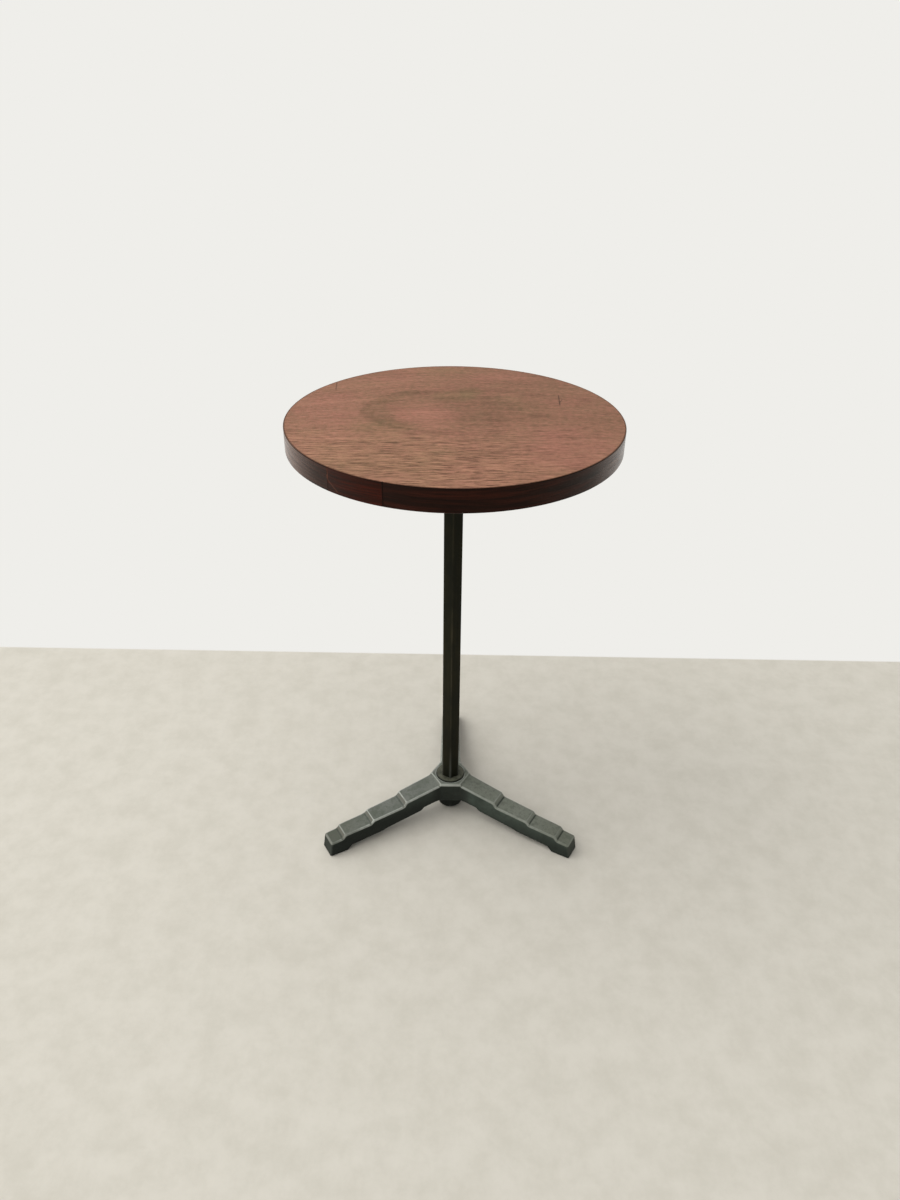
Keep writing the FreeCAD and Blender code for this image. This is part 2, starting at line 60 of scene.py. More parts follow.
# %% A number on a surface
class Value:
    """A number that changes over a surface. Each sum with it adds a Math node to its tree."""

    def __init__(self, work, socket):
        self.work = work
        self.socket = socket

    def sum(self, operation, first, second):
        return self.work.value("ShaderNodeMath", {"operation": operation}, {0: first, 1: second})

    def __add__(self, other):
        return self.sum("ADD", self, other)

    def __radd__(self, other):
        return self.sum("ADD", other, self)

    def __sub__(self, other):
        return self.sum("SUBTRACT", self, other)

    def __rsub__(self, other):
        return self.sum("SUBTRACT", other, self)

    def __mul__(self, other):
        return self.sum("MULTIPLY", self, other)

    def __rmul__(self, other):
        return self.sum("MULTIPLY", other, self)

    def __truediv__(self, other):
        return self.sum("DIVIDE", self, other)

    def __pow__(self, other):
        return self.sum("POWER", self, other)

    def __neg__(self):
        return self.sum("MULTIPLY", self, -1.0)

    def __abs__(self):
        return self.sum("ABSOLUTE", self, 0.0)

    def least(self, other):
        return self.sum("MINIMUM", self, other)

    def most(self, other):
        return self.sum("MAXIMUM", self, other)

    def kept_within(self, low, high):
        return self.most(low).least(high)


# %% A tree of nodes
class NodeWork:
    """Adds nodes to one tree, for a material or for the world."""

    def __init__(self, tree):
        self.tree = tree

    def feed(self, socket, value):
        if isinstance(value, Value):
            self.tree.links.new(value.socket, socket)
        elif isinstance(value, bpy.types.NodeSocket):
            self.tree.links.new(value, socket)
        else:
            socket.default_value = value

    def node(self, kind, settings=(), inputs=()):
        made = self.tree.nodes.new(kind)
        for name, setting in dict(settings).items():
            setattr(made, name, setting)
        for name, value in dict(inputs).items():
            self.feed(made.inputs[name], value)
        return made

    def value(self, kind, settings=(), inputs=(), output=0):
        return Value(self, self.node(kind, settings, inputs).outputs[output])

    def smooth(self, value, low, high):
        """0 below low, 1 above high and a soft rise between them."""
        return self.value("ShaderNodeMapRange", {"interpolation_type": "SMOOTHSTEP"},
                          {0: value, 1: low, 2: high})

    def mix(self, first, second, share):
        made = self.node("ShaderNodeMix", {"data_type": "RGBA"}, {0: share, 6: first, 7: second})
        return made.outputs[2]

    def parts(self, vector):
        split = self.node("ShaderNodeSeparateXYZ", (), {0: vector})
        return [Value(self, socket) for socket in split.outputs]


# %% A finish on the Principled shader
class Finish(NodeWork):
    """A material under construction. What stays the same all over is set on the shader's sockets."""

    def __init__(self, name, **constants):
        self.material = bpy.data.materials.new(name)
        self.material.use_nodes = True
        super().__init__(self.material.node_tree)
        self.shader = self.tree.nodes["Principled BSDF"]
        for socket, value in constants.items():
            self.shader.inputs[socket.replace("_", " ")].default_value = value

    def place(self):
        """The three coordinates of a point, in metres, in the table's own frame."""
        return self.parts(self.node("ShaderNodeTexCoord").outputs["Object"])

    def noise(self, x, y, z=0.0, detail=2.0, rough=0.5):
        vector = self.node("ShaderNodeCombineXYZ", (), {0: x, 1: y, 2: z}).outputs[0]
        return self.value("ShaderNodeTexNoise", (),
                          {"Vector": vector, "Scale": 1.0, "Detail": detail, "Roughness": rough})

    def colour(self, value):
        self.feed(self.shader.inputs["Base Color"], value)

    def roughness(self, value):
        self.feed(self.shader.inputs["Roughness"], value)

    def relief(self, height, depth):
        """Raises the surface by height times depth, in metres, as light sees it."""
        bump = self.node("ShaderNodeBump", (), {"Height": height, "Distance": depth, "Strength": 1.0})
        self.feed(self.shader.inputs["Normal"], bump.outputs[0])

    def cover(self, *pieces):
        for piece in pieces:
            piece.data.materials.clear()
            piece.data.materials.append(self.material)
        print(f"{self.material.name}: {len(self.tree.nodes)} nodes on {', '.join(p.name for p in pieces)}")


def paint(red, green, blue):
    """A colour as a paint chart gives it, 0 to 255, turned into the linear light that shaders use."""
    def linear(part):
        part = part / 255
        return part / 12.92 if part <= 0.04045 else ((part + 0.055) / 1.055) ** 2.4
    return (linear(red), linear(green), linear(blue), 1.0)


# %% [markdown]
# ## The camera
# The picture was taken from standing height: a wide lens about a metre away, looking down at the table.
# The place, the tilt and the lens were worked out from the round rim of the top, the post and the feet,
# so that the table falls on the same spot of the picture.

# %% Camera
CAMERA_PLACE = (-0.0052, -0.9402, 0.9155)
CAMERA_TILT_DOWN = 0.5521
CAMERA_ROLL = 0.0109
CAMERA_HEADING = -0.0023
CAMERA_LENS_MM = 27.02

camera_data = bpy.data.cameras.new("camera")
camera_data.lens = CAMERA_LENS_MM
camera_data.sensor_width = 36.0
camera_data.sensor_fit = "AUTO"
camera = bpy.data.objects.new("camera", camera_data)
camera.matrix_world = (
    Matrix.Translation(CAMERA_PLACE)
    @ Matrix.Rotation(CAMERA_HEADING, 4, "Z")
    @ Matrix.Rotation(math.pi / 2 - CAMERA_TILT_DOWN, 4, "X")
    @ Matrix.Rotation(CAMERA_ROLL, 4, "Z")
)
bpy.context.scene.collection.objects.link(camera)
bpy.context.scene.camera = camera
print("camera at", [round(v, 3) for v in camera.location], "lens", camera_data.lens)

# %% [markdown]
# ## Floor, backdrop and light
# The floor is plain and pale and turns white behind the table, so that the eye stays on the table. The
# white is only for the camera and for reflections. The real light is a bright room on the left and
# above, and one big soft lamp there, so shadows stay soft and fall to the right.

# %% Light of the room
BACKDROP_WHITE = paint(239, 238, 234)
MIRROR_DARK = (0.06, 0.06, 0.055, 1.0)
ROOM_LIGHT = (1.55, 1.54, 1.51, 1.0)
ROOM_DIM = (0.05, 0.05, 0.049, 1.0)
LIGHT_SIDE = (-0.66, -0.06, 0.75)


def seen_rays(work):
    """1 for rays from the camera, reflections and glass, 0 for the rays that light the scene."""
    path = work.node("ShaderNodeLightPath")
    rays = [Value(work, path.outputs[name]) for name in
            ("Is Camera Ray", "Is Glossy Ray", "Is Transmission Ray")]
    return (rays[0] + rays[1] + rays[2]).least(1.0), rays[0]


world = bpy.data.worlds.new("studio")
world.use_nodes = True
bpy.context.scene.world = world
room = NodeWork(world.node_tree)
direction = room.parts(room.node("ShaderNodeTexCoord").outputs["Generated"])
behind = room.smooth(direction[1], -0.55, 0.35)
towards_light = sum(part * share for part, share in zip(direction, LIGHT_SIDE))
seen, camera_ray = seen_rays(room)
lighting = room.mix(ROOM_DIM, ROOM_LIGHT, room.smooth(towards_light, -0.15, 1.0))
mirrored = room.mix(MIRROR_DARK, BACKDROP_WHITE, behind)
shown = room.mix(mirrored, BACKDROP_WHITE, camera_ray)
room.feed(world.node_tree.nodes["Background"].inputs["Color"], room.mix(lighting, shown, seen))
print("room light set")

# %% Lamp
LAMP_PLACE = (-2.0, -0.2, 3.2)
LAMP_TARGET = (0.0, -0.1, 0.2)
LAMP_WIDTH = 2.4
LAMP_WATTS = 30.0
LAMP_TINT = (1.0, 0.985, 0.955)

lamp_data = bpy.data.lights.new("soft_lamp", "AREA")
lamp_data.shape = "DISK"
lamp_data.size = LAMP_WIDTH
lamp_data.energy = LAMP_WATTS
lamp_data.color = LAMP_TINT
lamp = bpy.data.objects.new("soft_lamp", lamp_data)
lamp.location = LAMP_PLACE
aim = [target - start for target, start in zip(LAMP_TARGET, LAMP_PLACE)]
lamp.rotation_euler = (
    math.atan2(math.hypot(aim[0], aim[1]), -aim[2]),
    0.0,
    math.atan2(aim[1], aim[0]) - math.pi / 2,
)
bpy.context.scene.collection.objects.link(lamp)
bpy.context.scene.view_settings.view_transform = "Standard"
print("lamp aims at", LAMP_TARGET)

# %% Floor
FLOOR_REACH = 8.0
FLOOR_COLOUR = paint(211, 207, 197)
FLOOR_SHADE = paint(201, 197, 186)
BACKDROP_LINE = 0.361
BACKDROP_TURN = -0.0122
BACKDROP_SOFTNESS = 0.004
WHITE_FROM, WHITE_AT = 1.3, 2.2

bpy.ops.object.select_all(action="DESELECT")
bpy.ops.mesh.primitive_plane_add(size=FLOOR_REACH * 2, location=(0, 0, 0))
floor = bpy.context.object
floor.name = "floor"
concrete = Finish("pale_floor", Roughness=0.9, Specular_IOR_Level=0.2)
x, y, z = concrete.place()
mottle = concrete.noise(x * 26, y * 26, detail=6.0, rough=0.7)
concrete.colour(concrete.mix(FLOOR_COLOUR, FLOOR_SHADE, concrete.smooth(mottle, 0.3, 0.75)))
in_backdrop = concrete.smooth(y - x * BACKDROP_TURN, BACKDROP_LINE, BACKDROP_LINE + BACKDROP_SOFTNESS)
far_off = concrete.smooth((x * x + y * y) ** 0.5, WHITE_FROM, WHITE_AT)
seen, _ = seen_rays(concrete)
white = concrete.node("ShaderNodeEmission", (), {"Color": BACKDROP_WHITE, "Strength": 1.0})
both = concrete.node("ShaderNodeMixShader", (), {
    0: in_backdrop.most(far_off) * seen,
    1: concrete.shader.outputs[0],
    2: white.outputs[0],
})
concrete.feed(concrete.tree.nodes["Material Output"].inputs["Surface"], both.outputs[0])
concrete.cover(floor)

# %% [markdown]
# ## The top's face
# The face is a sheet of reddish veneer whose grain runs from left to right and sweeps up a little
# towards the back. Years of light and a hot, wet pot have left it faded in places and olive brown in
# others. Two numbers describe a point: its tone, from dark to light, and its warmth, from olive to pink.
# Stretched noise gives both their grain, and listed soft ovals and strokes give the marks of use.

# %% Ovals and strokes
def oval(work, x, y, centre, reach, soft=0.6):
    """1 in the middle of an oval, 0 outside it, with an edge that is soft by that share of its size."""
    across = (x - centre[0]) / reach[0]
    along = (y - centre[1]) / reach[1]
    distance = (across * across + along * along) ** 0.5
    return 1 - work.smooth(distance, 1 - soft, 1 + soft)


def stroke(work, x, y, start, end, width):
    """1 on a straight stroke between two points, fading to 0 at its width on either side."""
    run = (end[0] - start[0], end[1] - start[1])
    length_squared = run[0] ** 2 + run[1] ** 2
    share = (((x - start[0]) * run[0] + (y - start[1]) * run[1]) / length_squared).kept_within(0.0, 1.0)
    off_x = x - start[0] - share * run[0]
    off_y = y - start[1] - share * run[1]
    distance = (off_x * off_x + off_y * off_y) ** 0.5
    return 1 - work.smooth(distance, 0.0, width)


# %% Grain of the face
ARCH_MIDDLE = 0.04
ARCH_RISE = 0.95

veneer = Finish("faded_veneer", Specular_IOR_Level=0.12)
x, y, z = veneer.place()
sway = (veneer.noise(x * 6, y * 9, detail=1.0) - 0.5) * 0.018
grain = y + ARCH_RISE * veneer.smooth(y, -0.06, 0.06) * (x - ARCH_MIDDLE) ** 2.0 + sway
nearer = veneer.smooth(-y, -0.01, 0.12)
open_grain = nearer * (1 - 0.65 * veneer.smooth(x, 0.03, 0.10))
bands = veneer.noise(x * 7, grain * 85, 1.0, detail=3.0, rough=0.62)
figure = veneer.noise(x * 12, grain * 240, 3.0, detail=3.0, rough=0.65)
flecks = veneer.noise(x * 170, y * 210, 15.0, detail=3.0, rough=0.6)
streaks = veneer.noise(x * 70, grain * 680, 7.0, detail=2.0, rough=0.6)
streak_mark = veneer.smooth(streaks, 0.46, 0.66)
pores = veneer.noise(x * 160, grain * 1700, 11.0, detail=2.0, rough=0.55)
pore_mark = veneer.smooth(pores, 0.58, 0.7)
lines = veneer.noise(x * 38, grain * 860, 19.0, detail=3.0, rough=0.65)
line_mark = veneer.smooth(lines, 0.44, 0.64)
print("grain of the face:", len(veneer.tree.nodes), "nodes")

# %% [markdown]
# The marks of use are lists: where an oval lies, how far it reaches and how strong it is, or where a stroke
# starts and ends, how wide it is and how strong. The ovals are placed with coordinates that drift a little,
# so that no outline is a clean ellipse. The strokes that follow the grain use the grain's own coordinate.

# %% Marks of use on the face
LIGHT_MARKS = [
    ((-0.033, -0.006), (0.031, 0.038), 0.14),
    ((-0.135, -0.050), (0.040, 0.0060), 0.09),
    ((-0.130, 0.010), (0.045, 0.040), 0.05),
    ((0.066, 0.066), (0.008, 0.014), 0.10),
    ((0.060, 0.142), (0.030, 0.012), 0.08),
    ((-0.030, 0.165), (0.060, 0.012), 0.07),
    ((-0.122, -0.118), (0.030, 0.018), 0.06),
]
DARK_MARKS = [
    ((0.040, 0.022), (0.048, 0.058), 0.07),
    ((-0.008, 0.058), (0.015, 0.010), 0.08),
    ((0.008, 0.094), (0.030, 0.014), 0.06),
    ((0.043, -0.014), (0.014, 0.018), 0.05),
    ((0.014, -0.100), (0.038, 0.012), 0.05),
    ((0.026, -0.103), (0.024, 0.011), 0.07),
    ((-0.052, -0.094), (0.012, 0.004), 0.09),
    ((-0.034, -0.079), (0.022, 0.004), 0.08),
    ((-0.095, -0.148), (0.045, 0.020), 0.05),
    ((0.045, -0.149), (0.045, 0.003), 0.09),
    ((0.084, -0.040), (0.007, 0.003), 0.15),
    ((0.092, 0.010), (0.012, 0.010), 0.08),
    ((0.092, 0.078), (0.012, 0.006), 0.08),
    ((0.150, 0.062), (0.008, 0.006), 0.08),
]
LIGHT_STROKES = [
    ((-0.175, 0.040), (-0.060, 0.062), 0.014, 0.09),
    ((-0.150, 0.100), (-0.050, 0.122), 0.014, 0.08),
]
DARK_STROKES = [((0.002, -0.124), (0.024, -0.112), 0.010, 0.09)]
LIGHT_GRAIN_LINES = [((-0.170, -0.066), (-0.015, -0.066), 0.005, 0.20)]
DARK_GRAIN_LINES = [
    ((-0.150, -0.074), (-0.050, -0.074), 0.004, 0.10),
    ((-0.055, -0.043), (0.050, -0.043), 0.007, 0.14),
]

drift_x = x + (veneer.noise(x * 30, y * 30, 5.0, detail=3.0, rough=0.6) - 0.5) * 0.022
drift_y = y + (veneer.noise(x * 30, y * 30, 9.0, detail=3.0, rough=0.6) - 0.5) * 0.018


def ovals(marks):
    return sum(oval(veneer, drift_x, drift_y, centre, reach) * strength for centre, reach, strength in marks)


def strokes(across, along, marks):
    return sum(strength * stroke(veneer, across, along, start, end, width)
               for start, end, width, strength in marks)


lighter = ovals(LIGHT_MARKS) + strokes(drift_x, drift_y, LIGHT_STROKES) + strokes(x, grain, LIGHT_GRAIN_LINES)
darker = ovals(DARK_MARKS) + strokes(drift_x, drift_y, DARK_STROKES) + strokes(x, grain, DARK_GRAIN_LINES)
print("marks of use:", len(LIGHT_MARKS), "light and", len(DARK_MARKS), "dark ovals")

# %% Ring of the pot and scratches
RING_CENTRE = (-0.016, 0.025)
RING_REACH = (0.088, 0.069)
SCRATCHES = [
    ((0.1206, 0.077), (0.1190, 0.043), 0.0012, 1.0),
    ((0.1197, 0.052), (0.1235, 0.062), 0.0011, 0.8),
    ((-0.1410, 0.115), (-0.1394, 0.090), 0.0012, 0.8),
    ((0.162, 0.014), (0.170, 0.012), 0.0012, 0.7),
    ((-0.150, 0.012), (-0.1435, 0.013), 0.0012, 0.4),
]

ring_x = (0.5 * (x + drift_x) - RING_CENTRE[0]) / RING_REACH[0]
ring_y = (0.5 * (y + drift_y) - RING_CENTRE[1]) / RING_REACH[1]
ring = (ring_x * ring_x + ring_y * ring_y) ** 0.5
inside_ring = 1 - veneer.smooth(ring, 0.96, 1.03)
left_side = veneer.smooth(-ring_x, -0.1, 0.5)
ring_band = inside_ring * veneer.smooth(ring, 0.58, 0.80) * left_side
lower_left = veneer.smooth(-0.7 * ring_x - 0.7 * ring_y, 0.3, 0.9)
ring_rim = (1 - veneer.smooth(abs(ring - 0.97), 0.02, 0.10)) * lower_left
darker = darker + 0.03 * inside_ring + 0.12 * ring_band + 0.09 * ring_rim
scratches = strokes(x, y, SCRATCHES).least(1.0)
print("ring of", [round(2 * reach, 3) for reach in RING_REACH], "m and", len(SCRATCHES), "scratches")

# %% Colours of the face
PINK_DARK, PINK_LIGHT = paint(92, 54, 43), paint(175, 122, 102)
OLIVE_DARK, OLIVE_LIGHT = paint(80, 59, 38), paint(158, 125, 93)
SCRATCH_DARK = paint(46, 30, 24)
WARM_MARKS = [
    ((-0.033, -0.004), (0.032, 0.036), 0.28),
    ((-0.140, 0.028), (0.035, 0.050), 0.22),
    ((0.115, -0.085), (0.045, 0.050), 0.28),
    ((0.050, 0.150), (0.040, 0.018), 0.16),
    ((-0.075, 0.145), (0.040, 0.020), 0.12),
]
OLIVE_MARKS = [
    ((0.018, 0.085), (0.013, 0.017), 0.42),
    ((-0.002, 0.070), (0.022, 0.020), 0.34),
    ((0.058, 0.030), (0.045, 0.042), 0.17),
    ((-0.078, -0.034), (0.030, 0.022), 0.30),
    ((-0.075, -0.120), (0.070, 0.045), 0.18),
    ((0.000, 0.160), (0.050, 0.018), 0.18),
]

cloud = veneer.noise(x * 22, y * 26, 13.0, detail=3.0, rough=0.6)
warmth = (
    0.60 + 0.8 * (cloud - 0.5) + 0.4 * (bands - 0.5) + (1.3 - 0.5 * nearer) * (flecks - 0.5)
    + ovals(WARM_MARKS) - ovals(OLIVE_MARKS) - 0.22 * ring_band
).kept_within(0.0, 1.0)
# Painted light: besides the grain and the marks, the tone rises a little towards the left, where the light
# falls from.
tone = (
    0.56 + 0.12 * nearer + 0.10 * (veneer.smooth(-x, -0.13, 0.15) - 0.5)
    + 0.50 * (bands - 0.5)
    + (0.36 + 0.16 * open_grain) * (figure - 0.5)
    + (0.72 - 0.10 * nearer) * (flecks - 0.5)
    + lighter - darker
    - (0.08 + 0.28 * open_grain) * streak_mark
    - 0.12 * pore_mark
    - (0.22 + 0.86 * open_grain) * (line_mark - 0.36)
).kept_within(0.0, 1.0)
olive_side = veneer.mix(OLIVE_DARK, OLIVE_LIGHT, tone)
pink_side = veneer.mix(PINK_DARK, PINK_LIGHT, tone)
face = veneer.mix(olive_side, pink_side, warmth)
veneer.colour(veneer.mix(face, SCRATCH_DARK, 0.7 * scratches))
veneer.roughness(0.56 + 0.12 * pore_mark + 0.08 * cloud)
veneer.relief(1 - 0.7 * pore_mark - 0.3 * streak_mark - scratches, 0.00012)
veneer.cover(nodes["face_veneer"])

# %% [markdown]
# ## The edging
# Two strips of darker wood close the rim, a long one and a short one, with the grain running along the
# rim. The lacquer on them is still smooth, so seen along the rim they mirror the bright room. The grain
# follows the angle round the rim. The wood is darkest at the front, and everywhere else it is painted a
# paler brown, as painted light for the sides that the room lights. At one seam the lacquer has chipped,
# and a thin split runs down from it.

# %% Edging finish
RIM_RADIUS = 0.185
RIM_LOW, RIM_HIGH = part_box("edge_strip_main")[0][2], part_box("edge_strip_main")[1][2]
CLOSING_MIDDLE = math.radians(238.4)
CLOSING_HALF = math.radians(10.15)
PAINTED_LIGHT_PALE, PAINTED_LIGHT_BROWN = paint(118, 80, 55), paint(86, 57, 40)
BARE_WOOD, FLUSH_EDGE_WOOD, SEAM_DIRT = paint(132, 82, 62), paint(106, 72, 54), paint(20, 12, 10)


def edging_finish(name, wood, dark, red, offset):
    lacquer = Finish(name, Specular_IOR_Level=0.5, Specular_Tint=(0.12, 0.07, 0.045, 1.0))
    x, y, z = lacquer.place()
    turned_x = x * math.cos(CLOSING_MIDDLE) + y * math.sin(CLOSING_MIDDLE)
    turned_y = y * math.cos(CLOSING_MIDDLE) - x * math.sin(CLOSING_MIDDLE)
    angle = turned_x.sum("ARCTAN2", turned_y, turned_x)
    rim = angle * RIM_RADIUS
    sway = (lacquer.noise(rim * 9, z * 20, offset, detail=1.0) - 0.5) * 0.006
    across = z + sway
    broad = lacquer.noise(rim * 7, across * 150, offset + 3.0, detail=3.0, rough=0.6)
    fine = lacquer.noise(rim * 26, across * 700, offset + 5.0, detail=3.0, rough=0.6)
    pores = lacquer.noise(rim * 120, across * 2600, offset + 7.0, detail=1.0)
    fine_mark = lacquer.smooth(fine, 0.42, 0.68)
    pore_mark = lacquer.smooth(pores, 0.6, 0.7)
    colour = lacquer.mix(wood, red, lacquer.smooth(broad, 0.38, 0.66))
    colour = lacquer.mix(colour, dark, (0.7 * fine_mark + 0.3 * pore_mark).least(1.0))
    patches = lacquer.noise(x * 14, y * 14, offset + 9.0, detail=2.0)
    # Painted light: away from the front the edging is painted a paler brown, for the light its sides catch.
    painted_light_beyond_front = lacquer.smooth(y + (broad - 0.5) * 0.03 + (patches - 0.5) * 0.04, -0.132, -0.078)
    painted_light_wood = lacquer.mix(PAINTED_LIGHT_PALE, PAINTED_LIGHT_BROWN, lacquer.smooth(broad, 0.35, 0.65))
    colour = lacquer.mix(colour, painted_light_wood, (0.85 - 0.45 * fine_mark) * painted_light_beyond_front)
    arris = lacquer.smooth(z, RIM_HIGH - 0.0013, RIM_HIGH - 0.0005)
    colour = lacquer.mix(colour, dark, 0.7 * arris)
    flush_edge = lacquer.smooth(z, RIM_HIGH - 0.0002, RIM_HIGH - 0.0001)
    colour = lacquer.mix(colour, FLUSH_EDGE_WOOD, 0.8 * flush_edge)
    seam = 1 - lacquer.smooth(abs(abs(angle) - CLOSING_HALF) * RIM_RADIUS, 0.0003, 0.0014)
    rim_middle = 0.5 * (RIM_LOW + RIM_HIGH)
    upper_half = lacquer.smooth(z, rim_middle - 0.002, rim_middle + 0.002)
    left_seam = seam * lacquer.smooth(-turned_y, 0.0, 0.01) * upper_half
    right_seam = seam * lacquer.smooth(turned_y, 0.0, 0.01)
    flakes = lacquer.smooth(lacquer.noise(rim * 260, z * 190, offset, detail=2.0), 0.36, 0.58)
    split_start = (-CLOSING_HALF * RIM_RADIUS, rim_middle)
    split_end = (split_start[0] + 0.013, RIM_LOW + 0.003)
    chip = (left_seam * flakes).most(0.6 * stroke(lacquer, rim, z, split_start, split_end, 0.0011))
    colour = lacquer.mix(colour, BARE_WOOD, 0.45 * chip)
    colour = lacquer.mix(colour, SEAM_DIRT, 0.7 * right_seam)
    lacquer.colour(colour)
    lacquer.roughness(0.28 - 0.06 * painted_light_beyond_front + 0.12 * fine_mark + 0.25 * chip + 0.4 * arris)
    lacquer.relief(1 - 0.5 * pore_mark - 0.3 * fine_mark, 0.00006)
    return lacquer


edging_finish("edging_lacquer", paint(32, 19, 16), paint(17, 11, 10), paint(54, 26, 20), 1.0).cover(
    nodes["edge_strip_main"])
edging_finish("closing_strip_lacquer", paint(42, 17, 12), paint(22, 10, 8), paint(66, 23, 15), 20.0).cover(
    nodes["edge_strip_closing"])

# %% [markdown]
# ## The board and its backing
# The board inside is hidden by its skins, but a part library keeps it, so it gets the short blocks of
# a lumber core. The backing veneer under the table is a plain, dull brown sheet with the same grain.

# %% Board and backing finishes
board = Finish("lumber_core", Specular_IOR_Level=0.3)
x, y, z = board.place()
block = board.noise(x * 4, y * 45, 2.0, detail=1.0)
fibre = board.noise(x * 30, y * 700, z * 700, detail=3.0, rough=0.6)
darkness = (0.6 * block + 0.5 * fibre).kept_within(0.0, 1.0)
board.colour(board.mix(paint(186, 148, 104), paint(146, 108, 70), darkness))
board.roughness(0.7 + 0.2 * fibre)
board.cover(nodes["top_core"])

backing = Finish("backing_veneer_raw", Specular_IOR_Level=0.3)
x, y, z = backing.place()
grain = y + (backing.noise(x * 4, y * 6, detail=1.0) - 0.5) * 0.03
bands = backing.noise(x * 2, grain * 50, 4.0, detail=3.0, rough=0.6)
fine = backing.noise(x * 40, grain * 900, 8.0, detail=3.0, rough=0.6)
pore_mark = backing.smooth(backing.noise(x * 120, grain * 2200, 2.0, detail=1.0), 0.6, 0.7)
under = backing.mix(paint(124, 88, 66), paint(92, 62, 46), backing.smooth(bands, 0.3, 0.7))
fine_mark = backing.smooth(fine, 0.5, 0.75)
under = backing.mix(under, paint(62, 42, 32), (0.5 * fine_mark + 0.35 * pore_mark).least(0.8))
backing.colour(under)
backing.roughness(0.68 + 0.12 * pore_mark)
backing.relief(1 - pore_mark, 0.0001)
backing.cover(nodes["backing_veneer"])

# %% [markdown]
# ## The post and its collar
# The post is a hexagonal bar of drawn steel, blackened with a warm bronze tone, and smooth along its
# length but for faint drawing lines. The collar is turned, so its marks run round it.

# %% Post finish
POST_CORNER = 0.01262

blacking = Finish("post_blacking", Specular_IOR_Level=0.3, Specular_Tint=(0.16, 0.155, 0.1, 1.0))
x, y, z = blacking.place()
lines = blacking.noise(x * 900, y * 900, z * 6, detail=2.0)
bloom = blacking.noise(x * 60, y * 60, z * 22, detail=4.0, rough=0.6)
around = (x * x + y * y) ** 0.5
arris = blacking.smooth(around, 0.01205, POST_CORNER)
post_colour = blacking.mix(paint(22, 23, 16), paint(34, 32, 19), blacking.smooth(bloom, 0.35, 0.7))
post_colour = blacking.mix(post_colour, paint(16, 18, 14), 0.5 * blacking.smooth(lines, 0.45, 0.75))
# The corners are painted paler where the bloom is light: worn blacking and a painted highlight.
post_colour = blacking.mix(post_colour, paint(70, 66, 54), arris * blacking.smooth(bloom, 0.3, 0.75) * 0.7)
# Painted highlight: a pale streak is painted low down on the front corner of the post.
low_down = 1 - blacking.smooth(z, 0.060, 0.120)
painted_low_highlight = blacking.smooth(around, 0.01150, POST_CORNER) * low_down * blacking.smooth(-y, 0.0, 0.01)
post_colour = blacking.mix(post_colour, paint(92, 95, 90), 0.42 * painted_low_highlight)
blacking.colour(post_colour)
blacking.roughness(0.36 + 0.16 * bloom + 0.1 * lines - 0.08 * arris)
blacking.relief(lines, 0.00004)
blacking.cover(nodes["post"])

# %% Collar finish
turned = Finish("collar_turned", Metallic=0.2, Specular_IOR_Level=0.25)
x, y, z = turned.place()
around = (x * x + y * y) ** 0.5
rings = turned.noise(around * 2600, z * 300, 0.0, detail=1.0)
dirt = turned.noise(x * 190, y * 190, z * 190, detail=4.0, rough=0.6)
# Painted shade: the collar's outer side is painted much darker, for the shade on its upright wall.
shaded_rim_side = turned.smooth(around, 0.0178, 0.0190)
collar_colour = turned.mix(paint(92, 93, 79), paint(66, 68, 57), turned.smooth(dirt, 0.35, 0.68))
collar_colour = turned.mix(collar_colour, paint(34, 37, 31), 0.85 * shaded_rim_side)
turned.colour(collar_colour)
turned.roughness(0.42 + 0.2 * dirt)
turned.relief(rings, 0.00003)
turned.cover(nodes["post_collar"])

# %% [markdown]
# ## Hidden steel
# Under the top, a blackened plate with zinc plated screws holds the post. A bolt with two washers in the
# hub does the same from below. They are plain trade parts with a light, cloudy plating.

# %% Steel finishes
blackened = Finish("blackened_steel", Metallic=0.6, Specular_IOR_Level=0.5)
x, y, z = blackened.place()
smudge = blackened.noise(x * 60, y * 60, z * 60, detail=5.0, rough=0.62)
brush = blackened.noise(x * 40, y * 1500, 0.0, detail=2.0)
blackened.colour(blackened.mix(paint(52, 53, 52), paint(84, 84, 80), blackened.smooth(smudge, 0.35, 0.75)))
blackened.roughness(0.38 + 0.22 * smudge + 0.08 * brush)
blackened.relief(brush, 0.00003)
blackened.cover(nodes["mounting_plate"])

zinc = Finish("zinc_plating", Metallic=1.0, Specular_IOR_Level=0.5)
x, y, z = zinc.place()
spangle = zinc.noise(x * 420, y * 420, z * 420, detail=3.0, rough=0.6)
tarnish = zinc.noise(x * 130, y * 130, z * 130, detail=4.0)
zinc.colour(zinc.mix(paint(188, 188, 182), paint(148, 143, 128), zinc.smooth(tarnish, 0.4, 0.7)))
zinc.roughness(0.28 + 0.28 * spangle)
zinc.cover(nodes["plate_screws"], nodes["post_top_bolt"], nodes["base_bolt"], nodes["base_washer"],
           nodes["base_lock_washer"])

# %% [markdown]
# ## The cast base
# The real base is one iron casting. Sand moulds leave no sharp inner corners, and the paint rubs off the
# outer arrises first. The CAD solid has the true form with crisp edges, so a copy of its mesh is rebuilt
# from small even quads and smoothed, which softens every edge a little, as casting does. On that even
# mesh the bend of the surface can be measured at each point: it is kept as an attribute, and the paint
# reads it to pale at the arrises, for wear and as a painted highlight, and to darken the hollow corners
# with painted shade. Flat parts need few of the small faces, so at the end a Decimate modifier joins
# those that add nothing to the form.

# %% Softened copy of the casting
CAST_GRAIN = 0.0006
CAST_SMOOTHING = 7


def pick_only(piece):
    bpy.ops.object.select_all(action="DESELECT")
    piece.select_set(True)
    bpy.context.view_layer.objects.active = piece


